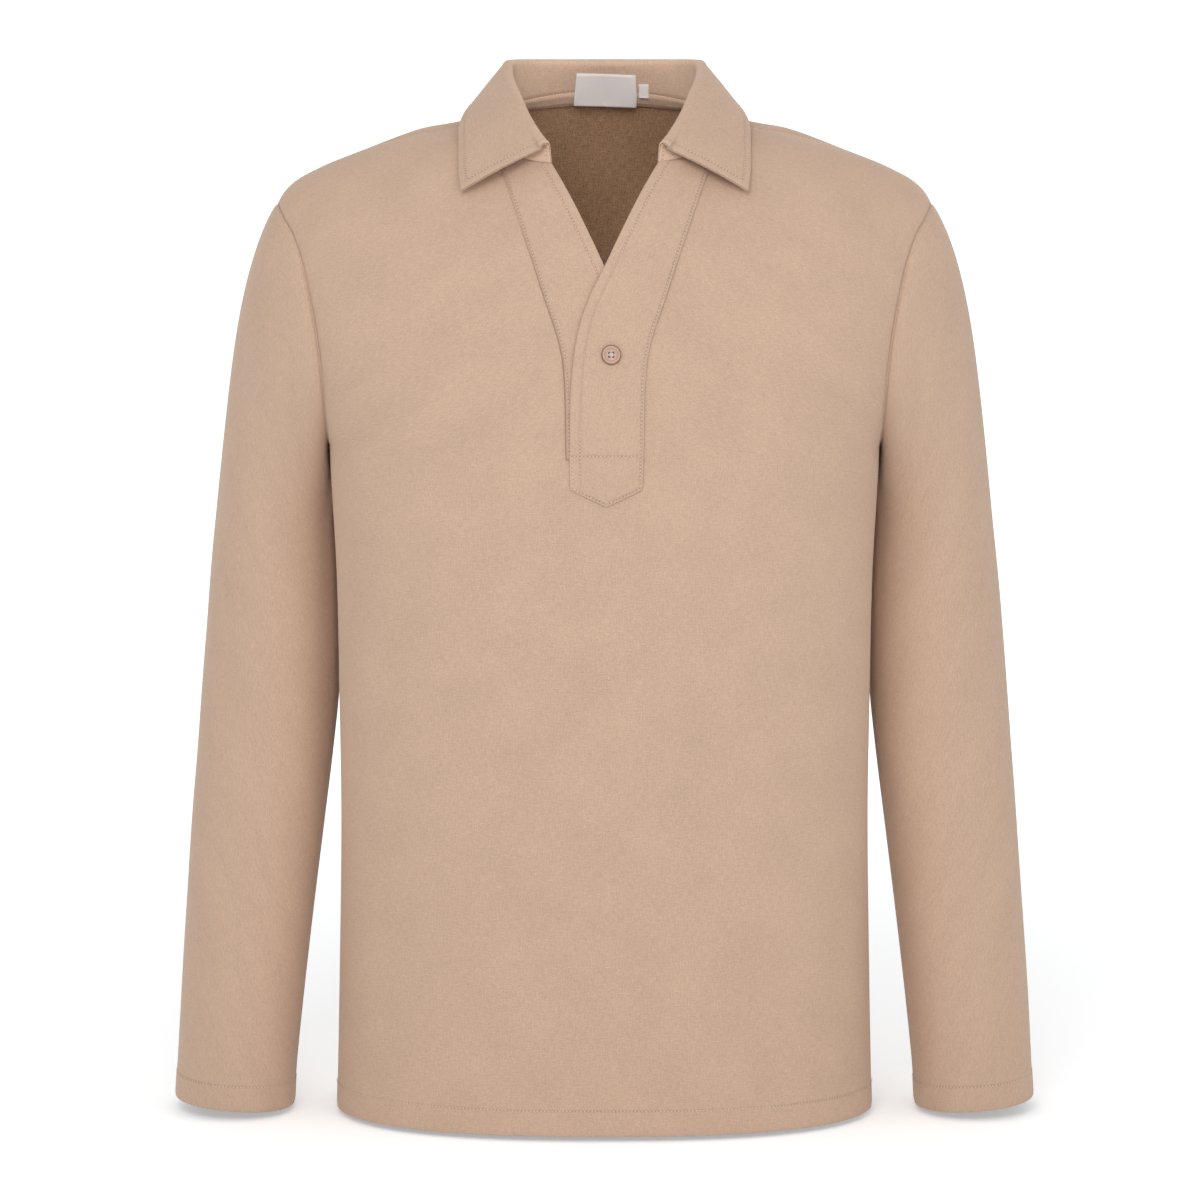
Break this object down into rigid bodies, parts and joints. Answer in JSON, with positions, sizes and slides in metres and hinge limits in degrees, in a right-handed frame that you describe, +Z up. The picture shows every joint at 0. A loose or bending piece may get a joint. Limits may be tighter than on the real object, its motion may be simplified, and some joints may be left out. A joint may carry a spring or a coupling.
{
  "type": "popover shirt",
  "caption": "Long-sleeved pullover shirt with a fold-down collar, an open V neck and a short buttoned placket with a pointed end.",
  "frame": {"origin": "between the two shoulder seams, level with where they meet the collar: where shoulders or a hanger carry the shirt", "axes": "+X towards the wearer's left, +Z up, and the front faces -Y"},
  "size_m": [0.6368, 0.2519, 0.7696],
  "materials": {
    "shell_fabric": "sand linen and cotton weave, matte",
    "label_satin": "pale woven satin",
    "button": "dull polished, pinkish brown"
  },
  "bodies": {
    "root": {"front": "shell_fabric", "back": "shell_fabric", "sleeve_left": "shell_fabric", "sleeve_right": "shell_fabric", "placket_over": "shell_fabric", "placket_under": "shell_fabric", "upper_collar": "shell_fabric", "under_collar": "shell_fabric", "neck_tape": "shell_fabric", "label": "label_satin", "size_tab": "label_satin", "button": "button"}
  },
  "joints": []
}
